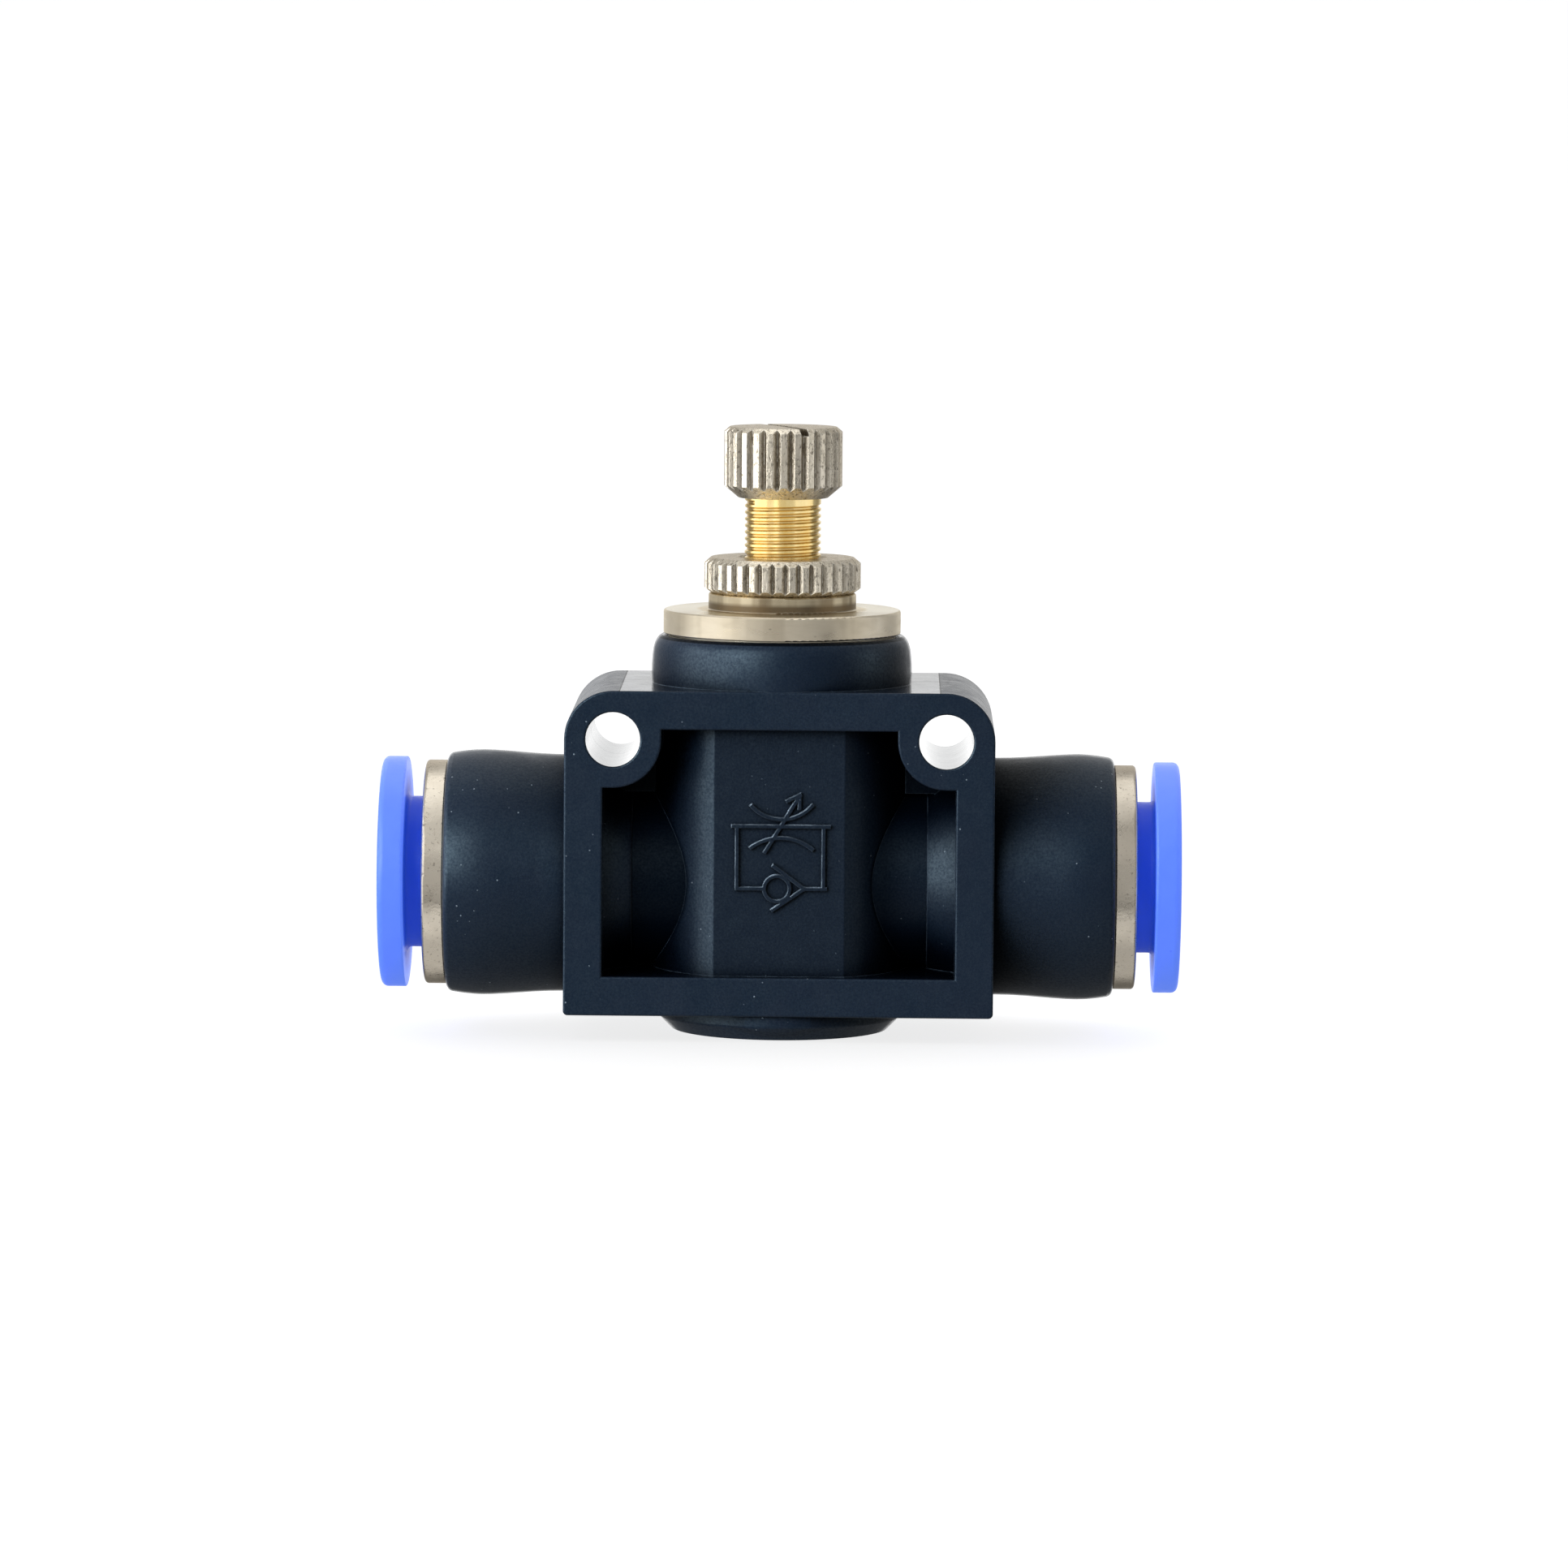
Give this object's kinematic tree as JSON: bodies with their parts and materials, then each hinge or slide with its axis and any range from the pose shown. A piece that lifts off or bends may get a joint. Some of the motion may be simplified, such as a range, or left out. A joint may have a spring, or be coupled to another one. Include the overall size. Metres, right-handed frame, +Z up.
{
  "type": "flow control valve",
  "caption": "In-line push-in pneumatic flow control valve: framed plastic body with mounting ears, tube ports with release sleeves, brass adjusting needle with knurled knob and locknut.",
  "frame": {"origin": "centre of the round foot under the body, on the adjusting needle's axis", "axes": "+X along the tube axis towards the right-hand port, +Y towards the back face (the flow symbol is on the -Y face), +Z up the needle axis"},
  "size_m": [0.0604, 0.0192, 0.0458],
  "materials": {
    "body_plastic": "moulded blue-black, fine satin",
    "nickel_plated_brass": "turned, nickel plated",
    "nickel_plated_knob": "knurled, nickel plated",
    "nickel_plated_ring": "nickel plated, grainy",
    "needle_brass": "bright turned",
    "sleeve_blue": "moulded translucent blue",
    "spring_stainless": "stamped",
    "acetal_white": "moulded",
    "nitrile_rubber": "moulded"
  },
  "bodies": {
    "valve_body": {"body": "body_plastic", "valve_bushing": "nickel_plated_brass", "valve_cage": "acetal_white", "check_lip_seal": "nitrile_rubber", "bushing_oring": "nitrile_rubber", "left_guide_ring": "nickel_plated_ring", "left_grab_ring": "spring_stainless", "left_claw_support_ring": "acetal_white", "left_tube_seal": "nitrile_rubber", "right_guide_ring": "nickel_plated_ring", "right_grab_ring": "spring_stainless", "right_claw_support_ring": "acetal_white", "right_tube_seal": "nitrile_rubber"},
    "needle_seal": {"needle_oring": "nitrile_rubber"},
    "needle": {"needle": "needle_brass", "knob": "nickel_plated_knob"},
    "locknut": {"locknut": "nickel_plated_knob"},
    "left_sleeve": {"left_release_sleeve": "sleeve_blue"},
    "right_sleeve": {"right_release_sleeve": "sleeve_blue"}
  },
  "joints": [
    {"name": "needle_travel", "type": "slide", "parent": "valve_body", "child": "needle_seal", "axis": [0, 0, 1], "range_m": [-0.00375, 0]},
    {"name": "needle_turn", "type": "hinge", "parent": "needle_seal", "child": "needle", "pos_m": [0, 0, 0.0117], "axis": [0, 0, 1], "range_deg": [-2702, 1]},
    {"name": "locknut_turn", "type": "hinge", "parent": "valve_body", "child": "locknut", "pos_m": [0, 0, 0.0345], "axis": [0, 0, 1], "range_deg": [0, 360]},
    {"name": "left_sleeve_press", "type": "slide", "parent": "valve_body", "child": "left_sleeve", "axis": [1, 0, 0], "range_m": [0, 0.0013]},
    {"name": "right_sleeve_press", "type": "slide", "parent": "valve_body", "child": "right_sleeve", "axis": [-1, 0, 0], "range_m": [0, 0.0013]}
  ],
  "couplings": [
    {"joint": "needle_turn", "follows": "needle_travel", "rad_per_m": 12566}
  ]
}
